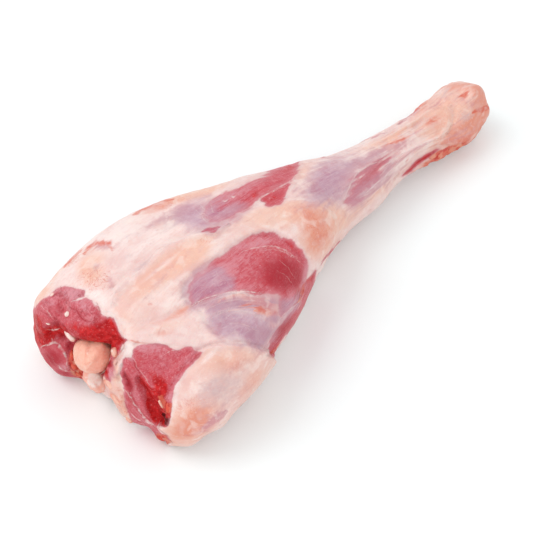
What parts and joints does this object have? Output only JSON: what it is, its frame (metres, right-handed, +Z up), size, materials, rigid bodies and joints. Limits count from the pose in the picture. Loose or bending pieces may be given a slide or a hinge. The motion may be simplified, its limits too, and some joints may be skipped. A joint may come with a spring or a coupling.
{
  "type": "raw leg of lamb",
  "caption": "Raw leg of lamb with the shank on, lying on its outer side, with fat cover, bare muscle and the thigh bone's ball showing at the cut.",
  "frame": {"origin": "under the middle of the leg's bounding box, on the surface that it lies on", "axes": "+X along the leg from the cut rump end to the hock, +Y to the left seen from the cut, +Z up"},
  "size_m": [0.4014, 0.1666, 0.0931],
  "materials": {
    "meat": "moist raw muscle under pale fat and silvery membrane",
    "bone_end": "smooth wet gristle over a bone's ball"
  },
  "bodies": {
    "root": {"leg_meat": "meat", "thigh_bone": "bone_end"}
  },
  "joints": []
}
